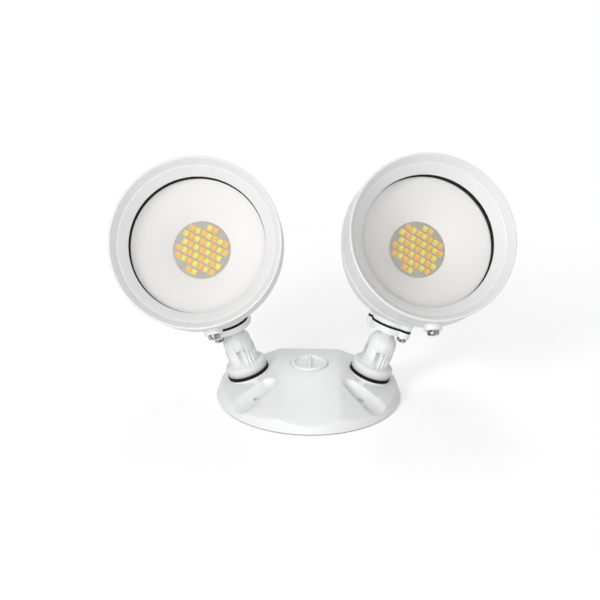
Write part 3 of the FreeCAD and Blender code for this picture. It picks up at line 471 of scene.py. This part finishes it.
REFLECTOR_WHITE = reflector_white()
REFLECTOR_CORNERS = [(44.0, -20.0), (48.0, -20.0), (48.0, -21.2), (45.2, -21.2), (20.5, -41.4),
                     (19.3, -41.4)]
REFLECTOR_ROUNDS = [0.8, 0.3, 0.3, 0.6, 0, 0.2]
for side in SIDES:
    cone = spun(rounded(REFLECTOR_CORNERS, REFLECTOR_ROUNDS))
    bmesh.ops.transform(cone, matrix=LAMP_FRAME[side], verts=cone.verts)
    shade = make(f"{side}_reflector_cone", cone, f"{side}_head", "white_reflector",
                 REFLECTOR_WHITE, instead=f"{side}_reflector")
    keep_edges(shade, degrees=35)


# Light source: a circuit board with slanted rows of small packages, warm and cool white by
# turns. Each package is a pale frame round a sunken window of orange or yellow phosphor.
FACING_OUT = 0.99
PACKAGE_FRAME = 0.16 * MM
WINDOW_SLOPE = 0.08 * MM
WINDOW_DEPTH = 0.08 * MM


# The board itself is white. Its base colour is set to a grey beige as painted shade, for the shade
# at the foot of the deep cone.
def board():
    finish = Finish("white_board", Roughness=0.5)
    mask = finish.noise(scale=160, detail=3)
    finish.feed("Base Color", finish.blend(mask, (0.36, 0.34, 0.32, 1), (0.44, 0.41, 0.38, 1)))
    finish.bump(mask, distance=0.00004, strength=0.4)
    return finish.material


def phosphor(name, first, second):
    finish = Finish(name, Roughness=0.55)
    grain = finish.noise(scale=900, detail=3)
    finish.feed("Base Color", finish.blend(grain, first, second))
    finish.bump(grain, distance=0.00003, strength=0.4)
    return finish.material


def package():
    finish = Finish("led_package", Roughness=0.45)
    tint = finish.noise(scale=300, detail=2)
    finish.feed("Base Color", finish.blend(tint, (0.76, 0.60, 0.36, 1), (0.82, 0.68, 0.42, 1)))
    return finish.material


BOARD = board()
PACKAGE = package()
PHOSPHOR = {"warm": phosphor("led_warm", (0.88, 0.42, 0.05, 1), (0.92, 0.52, 0.10, 1)),
            "cool": phosphor("led_cool", (0.80, 0.64, 0.07, 1), (0.84, 0.72, 0.12, 1))}


def packages(side, kind):
    """The node's chips, each with its top inset to a sunken window of phosphor."""
    shape = merged(f"{side}_{kind}_leds")
    bmesh.ops.dissolve_limit(shape, angle_limit=STILL_FLAT, verts=shape.verts, edges=shape.edges)
    shape.normal_update()
    forward = LAMP_FRAME[side].to_3x3().col[2]
    tops = [face for face in shape.faces if face.normal.dot(forward) > FACING_OUT]
    bmesh.ops.inset_individual(shape, faces=tops, thickness=PACKAGE_FRAME, depth=0)
    bmesh.ops.inset_individual(shape, faces=tops, thickness=WINDOW_SLOPE, depth=-WINDOW_DEPTH)
    for face in tops:
        face.material_index = 1
    piece = make(f"{side}_{kind}_packages", shape, f"{side}_head", f"led_{kind}",
                 PACKAGE, PHOSPHOR[kind], instead=f"{side}_{kind}_leds")
    keep_edges(piece, degrees=30)


for side in SIDES:
    wear(nodes[f"{side}_led_board"], BOARD)
    wear(nodes[f"{side}_board_screws"], STAINLESS)
    for kind in PHOSPHOR:
        packages(side, kind)


# Behind the light source: an aluminium heat plate on three posts, and a potted driver on two.
# None of this shows on the finished light.
def milled():
    finish = Finish("milled_aluminium", Metallic=1.0)
    cutter = finish.node("ShaderNodeTexWave", {"wave_type": "RINGS"},
                         {"Vector": finish.place, "Scale": 320.0, "Distortion": 1.0}, "Fac")
    finish.feed("Base Color", finish.blend(cutter, grey(0.66), grey(0.72)))
    finish.feed("Roughness", 0.3 + cutter * 0.12)
    return finish.material


def potting():
    finish = Finish("driver_potting", Specular_IOR_Level=0.4)
    mottle = finish.noise(scale=140, detail=3)
    finish.feed("Base Color", finish.blend(mottle, grey(0.02), grey(0.04)))
    finish.feed("Roughness", 0.4 + mottle * 0.2)
    finish.bump(mottle, distance=0.0001, strength=0.4)
    return finish.material


ALUMINIUM = milled()
POTTING = potting()
for side in SIDES:
    wear(nodes[f"{side}_heat_plate"], ALUMINIUM)
    wear(nodes[f"{side}_heat_plate_screws"], STAINLESS)
    wear(nodes[f"{side}_driver"], POTTING)
    wear(nodes[f"{side}_driver_screws"], STAINLESS)


# The studio: a plain white sheet under the light, a white surround and three soft lamps, the
# strongest from the upper left. Camera, gloss and glass rays see the surround as white, while the
# sheet keeps the light's own soft shadow and fades out into the white further away.
SHEET_HALF_WIDTH = 6.0
SHEET_GLOW = 0.38
SHEET_FADE_START = 0.12
SHEET_FADE_END = 0.45
AMBIENT = 0.45


def seen_white(finish):
    """One for rays that see the surround as white: from the camera, off gloss or through glass."""
    camera_ray, gloss_ray, glass_ray = [finish.node("ShaderNodeLightPath", {}, {}, f"Is {kind} Ray")
                                        for kind in ("Camera", "Glossy", "Transmission")]
    return finish.math("MAXIMUM", finish.math("MAXIMUM", camera_ray, gloss_ray), glass_ray)


def sheet_white():
    sheet = Finish("floor_white", Base_Color=grey(0.80), Roughness=0.9, Specular_IOR_Level=0.0,
                   Emission_Color=grey(1.0))
    sheet.feed("Emission Strength", seen_white(sheet) * SHEET_GLOW)
    away = sheet.node("ShaderNodeVectorMath", {"operation": "LENGTH"}, {0: sheet.place}, "Value")
    faded = sheet.node("ShaderNodeMapRange", {}, {
        "Value": away, "From Min": SHEET_FADE_START, "From Max": SHEET_FADE_END})
    sheet.feed("Alpha", 1 - faded)
    return sheet.material


floor_shape = bmesh.new()
bmesh.ops.create_grid(floor_shape, x_segments=1, y_segments=1, size=SHEET_HALF_WIDTH)
floor_mesh = bpy.data.meshes.new("floor")
floor_shape.to_mesh(floor_mesh)
floor_shape.free()
floor = bpy.data.objects.new("floor", floor_mesh)
bpy.context.scene.collection.objects.link(floor)
wear(floor, sheet_white())


class Surround(Finish):
    """The world's light, made with the same nodes as a finish."""

    def __init__(self, name, **constants):
        self.world = bpy.data.worlds.new(name)
        self.open_tree(self.world, "BACKGROUND", constants)


surround = Surround("surround", Color=grey(1.0))
surround.feed("Strength", seen_white(surround) * (1.0 - AMBIENT) + AMBIENT)
bpy.context.scene.world = surround.world


def softbox(name, spot, target, size, power):
    data = bpy.data.lights.new(name, "AREA")
    data.shape = "DISK"
    data.size = size
    data.energy = power
    lamp = bpy.data.objects.new(name, data)
    bpy.context.scene.collection.objects.link(lamp)
    lamp.location = spot
    lamp.rotation_euler = (Vector(target) - Vector(spot)).to_track_quat("-Z", "Y").to_euler()


softbox("key", spot=(-0.8, -1.2, 0.8), target=(0, 0, 0.08), size=0.5, power=9.6)
softbox("front", spot=(0.0, -1.5, 0.4), target=(0, 0, 0.08), size=0.9, power=7.2)
softbox("top", spot=(0.0, 0.8, 1.1), target=(0, 0, 0.05), size=0.6, power=3.0)
